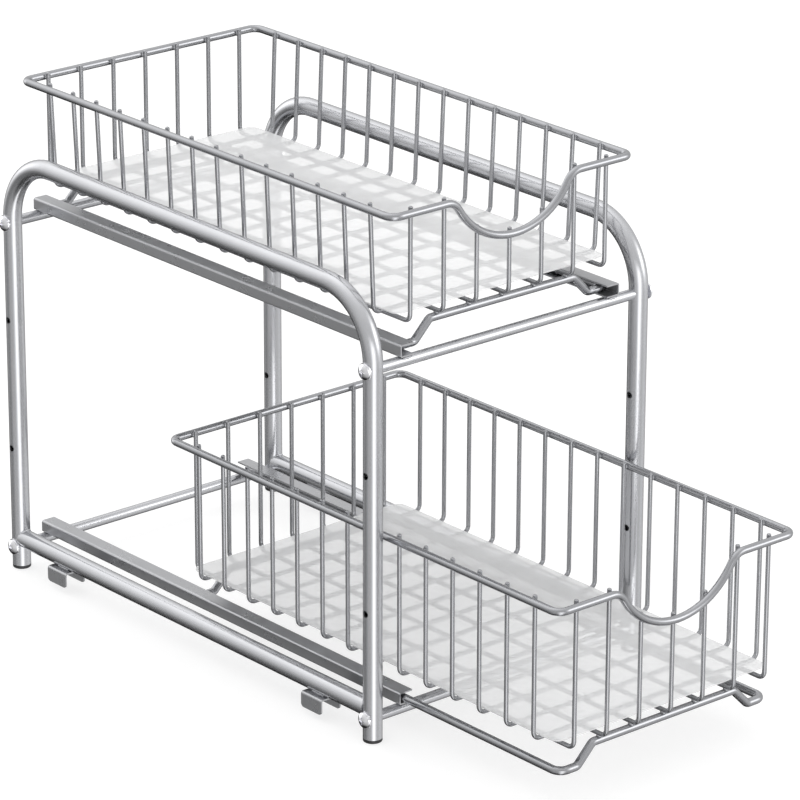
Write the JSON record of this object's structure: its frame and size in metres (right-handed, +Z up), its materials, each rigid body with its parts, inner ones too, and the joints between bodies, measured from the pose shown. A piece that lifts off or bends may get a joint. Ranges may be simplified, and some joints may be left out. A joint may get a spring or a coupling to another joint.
{
  "type": "pull out cabinet basket",
  "caption": "Two-tier sliding cabinet organiser: round-tube frame with channels, screwed cross bars and two wire baskets on runner rods, each with a hand scoop and a frosted liner.",
  "frame": {"origin": "on the floor, midway between the frame's four feet", "axes": "+Z up, -Y towards the user, the way the baskets pull out, +X to the user's right"},
  "size_m": [0.2878, 0.6435, 0.4138],
  "materials": {
    "grey_tube_paint": "satin",
    "grey_sheet_paint": "satin",
    "grey_wire_paint": "satin",
    "chrome_hardware": "polished",
    "zinc_insert": "plain",
    "black_rubber": "matte",
    "frosted_liner": "frosted translucent"
  },
  "bodies": {
    "frame": {"left_hoop_tube": "grey_tube_paint", "right_hoop_tube": "grey_tube_paint", "left_bottom_rail": "grey_tube_paint", "right_bottom_rail": "grey_tube_paint", "front_left_foot_plug": "black_rubber", "front_right_foot_plug": "black_rubber", "rear_left_foot_plug": "black_rubber", "rear_right_foot_plug": "black_rubber", "front_left_saddle_clip": "grey_sheet_paint", "front_right_saddle_clip": "grey_sheet_paint", "rear_left_saddle_clip": "grey_sheet_paint", "rear_right_saddle_clip": "grey_sheet_paint", "upper_front_cross_bar": "grey_tube_paint", "upper_rear_cross_bar": "grey_tube_paint", "lower_front_cross_bar": "grey_tube_paint", "lower_rear_cross_bar": "grey_tube_paint", "upper_left_channel": "grey_sheet_paint", "upper_right_channel": "grey_sheet_paint", "lower_left_channel": "grey_sheet_paint", "lower_right_channel": "grey_sheet_paint", "left_screws": "chrome_hardware", "left_washers": "chrome_hardware", "left_threaded_inserts": "zinc_insert", "right_screws": "chrome_hardware", "right_washers": "chrome_hardware", "right_threaded_inserts": "zinc_insert"},
    "upper_basket": {"upper_basket_rim": "grey_wire_paint", "upper_basket_cross_wires": "grey_wire_paint", "upper_basket_long_wires": "grey_wire_paint", "upper_basket_runner_rod": "grey_wire_paint", "upper_basket_liner": "frosted_liner"},
    "lower_basket": {"lower_basket_rim": "grey_wire_paint", "lower_basket_cross_wires": "grey_wire_paint", "lower_basket_long_wires": "grey_wire_paint", "lower_basket_runner_rod": "grey_wire_paint", "lower_basket_liner": "frosted_liner"}
  },
  "joints": [
    {"name": "upper_basket_slide", "type": "slide", "parent": "frame", "child": "upper_basket", "axis": [0, -1, 0], "range_m": [0, 0.29]},
    {"name": "lower_basket_slide", "type": "slide", "parent": "frame", "child": "lower_basket", "axis": [0, -1, 0], "range_m": [-0.184, 0.106]}
  ]
}
